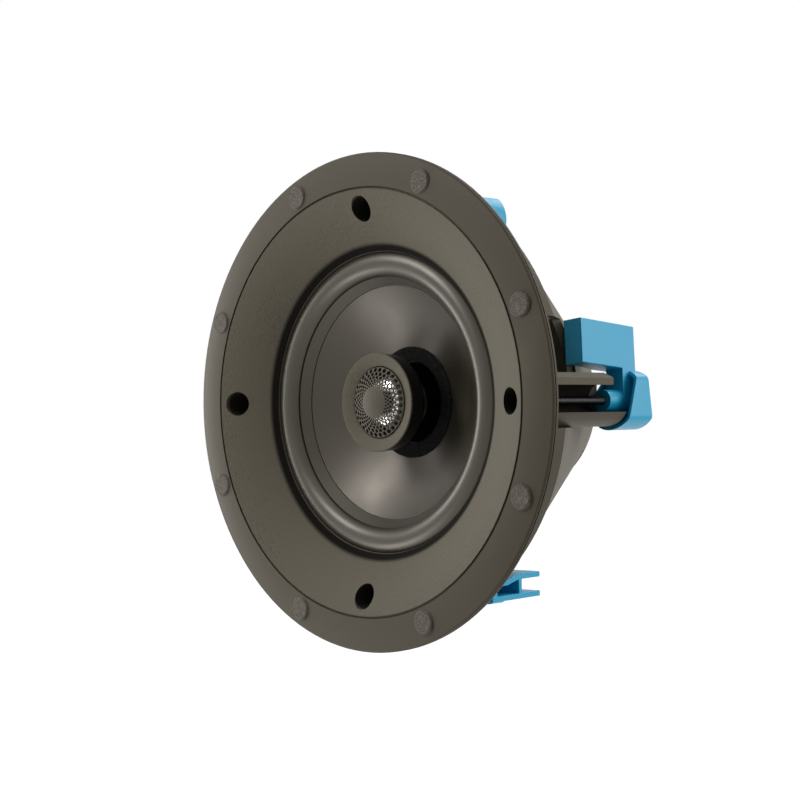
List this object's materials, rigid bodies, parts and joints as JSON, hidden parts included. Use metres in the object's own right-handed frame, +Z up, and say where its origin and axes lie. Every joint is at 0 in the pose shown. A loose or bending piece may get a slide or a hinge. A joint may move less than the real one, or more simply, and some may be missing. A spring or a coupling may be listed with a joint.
{
  "type": "ceiling speaker",
  "caption": "Round two-way coaxial ceiling speaker without its grille, with a dished baffle, a pod tweeter and swing-out dog-leg clamps.",
  "frame": {"origin": "centre of the flange's rear seating face", "axes": "+Y into the ceiling void along the speaker's axis, -Y the way the front fires, +Z up in the picture"},
  "size_m": [0.233, 0.1222, 0.233],
  "materials": {
    "frame_plastic": "satin grey, slightly warm",
    "grille_magnet": "fine mottled coating",
    "clamp_plastic": "satin sky blue",
    "black_steel": "black oxide",
    "surround_rubber": "satin rubber",
    "cone_paper": "matte, lightly textured",
    "felt": "black felt",
    "kapton": "black film",
    "copper": "enamelled wire",
    "spider_cloth": "resin treated cloth",
    "zinc_steel": "zinc plated",
    "ferrite": "dark sintered",
    "pod_plastic": "gloss black",
    "lens_metal": "satin grey paint, slightly warm",
    "dome_metal": "plain",
    "cover_plastic": "black, fine texture",
    "board": "green laminate",
    "capacitor": "film capacitor",
    "lever_red": "red",
    "lever_black": "black"
  },
  "bodies": {
    "housing": {"baffle_frame": "frame_plastic", "grille_magnet_1": "grille_magnet", "grille_magnet_2": "grille_magnet", "grille_magnet_3": "grille_magnet", "grille_magnet_4": "grille_magnet", "grille_magnet_5": "grille_magnet", "grille_magnet_6": "grille_magnet", "grille_magnet_7": "grille_magnet", "grille_magnet_8": "grille_magnet", "surround": "surround_rubber", "spider": "spider_cloth", "top_plate": "zinc_steel", "ring_magnet": "ferrite", "back_plate": "zinc_steel", "motor_screws": "zinc_steel", "tweeter_pod": "pod_plastic", "tweeter_post": "zinc_steel", "post_nut": "zinc_steel", "tweeter_trim": "frame_plastic", "tweeter_lens": "lens_metal", "dome_surround": "spider_cloth", "tweeter_pole": "zinc_steel", "tweeter_magnet": "ferrite", "tweeter_cup": "zinc_steel", "rear_cover": "cover_plastic", "crossover_board": "board", "inductor": "copper", "capacitor_1": "capacitor", "capacitor_2": "capacitor", "terminal_block": "cover_plastic"},
    "woofer_cone": {"cone": "cone_paper", "damping_ring": "felt", "coil_former": "kapton", "voice_coil": "copper"},
    "tweeter_diaphragm": {"tweeter_dome": "dome_metal", "tweeter_coil": "copper"},
    "lever_left": {"terminal_lever_1": "lever_red"},
    "lever_right": {"terminal_lever_2": "lever_black"},
    "clamp_arm_1": {"clamp_1": "clamp_plastic"},
    "screw_1": {"clamp_screw_1": "black_steel", "screw_clip_1": "black_steel"},
    "clamp_arm_2": {"clamp_2": "clamp_plastic"},
    "screw_2": {"clamp_screw_2": "black_steel", "screw_clip_2": "black_steel"},
    "clamp_arm_3": {"clamp_3": "clamp_plastic"},
    "screw_3": {"clamp_screw_3": "black_steel", "screw_clip_3": "black_steel"},
    "clamp_arm_4": {"clamp_4": "clamp_plastic"},
    "screw_4": {"clamp_screw_4": "black_steel", "screw_clip_4": "black_steel"}
  },
  "joints": [
    {"name": "clamp_swing_1", "type": "hinge", "parent": "housing", "child": "clamp_arm_1", "pos_m": [0.0908, 0, 0], "axis": [0, 1, 0], "range_deg": [0, 96.5]},
    {"name": "screw_turn_1", "type": "hinge", "parent": "housing", "child": "screw_1", "pos_m": [0.0908, 0, 0], "axis": [0, 1, 0], "continuous": true},
    {"name": "clamp_swing_2", "type": "hinge", "parent": "housing", "child": "clamp_arm_2", "pos_m": [0, 0, 0.0908], "axis": [0, 1, 0], "range_deg": [0, 96.5]},
    {"name": "screw_turn_2", "type": "hinge", "parent": "housing", "child": "screw_2", "pos_m": [0, 0, 0.0908], "axis": [0, 1, 0], "continuous": true},
    {"name": "clamp_swing_3", "type": "hinge", "parent": "housing", "child": "clamp_arm_3", "pos_m": [-0.0908, 0, 0], "axis": [0, 1, 0], "range_deg": [0, 96.5]},
    {"name": "screw_turn_3", "type": "hinge", "parent": "housing", "child": "screw_3", "pos_m": [-0.0908, 0, 0], "axis": [0, 1, 0], "continuous": true},
    {"name": "clamp_swing_4", "type": "hinge", "parent": "housing", "child": "clamp_arm_4", "pos_m": [0, 0, -0.0908], "axis": [0, 1, 0], "range_deg": [0, 90.6]},
    {"name": "screw_turn_4", "type": "hinge", "parent": "housing", "child": "screw_4", "pos_m": [0, 0, -0.0908], "axis": [0, 1, 0], "continuous": true},
    {"name": "cone_stroke", "type": "slide", "parent": "housing", "child": "woofer_cone", "axis": [0, 1, 0], "range_m": [-0.004, 0.004], "stiffness_N_per_m": 1000, "deforming": ["surround", "spider"]},
    {"name": "dome_stroke", "type": "slide", "parent": "housing", "child": "tweeter_diaphragm", "axis": [0, 1, 0], "range_m": [-0.0003, 0.0003], "stiffness_N_per_m": 3000, "deforming": ["dome_surround"]},
    {"name": "lever_press_left", "type": "slide", "parent": "housing", "child": "lever_left", "axis": [0, -1, 0], "range_m": [0, 0.002], "stiffness_N_per_m": 600},
    {"name": "lever_press_right", "type": "slide", "parent": "housing", "child": "lever_right", "axis": [0, -1, 0], "range_m": [0, 0.002], "stiffness_N_per_m": 600}
  ]
}
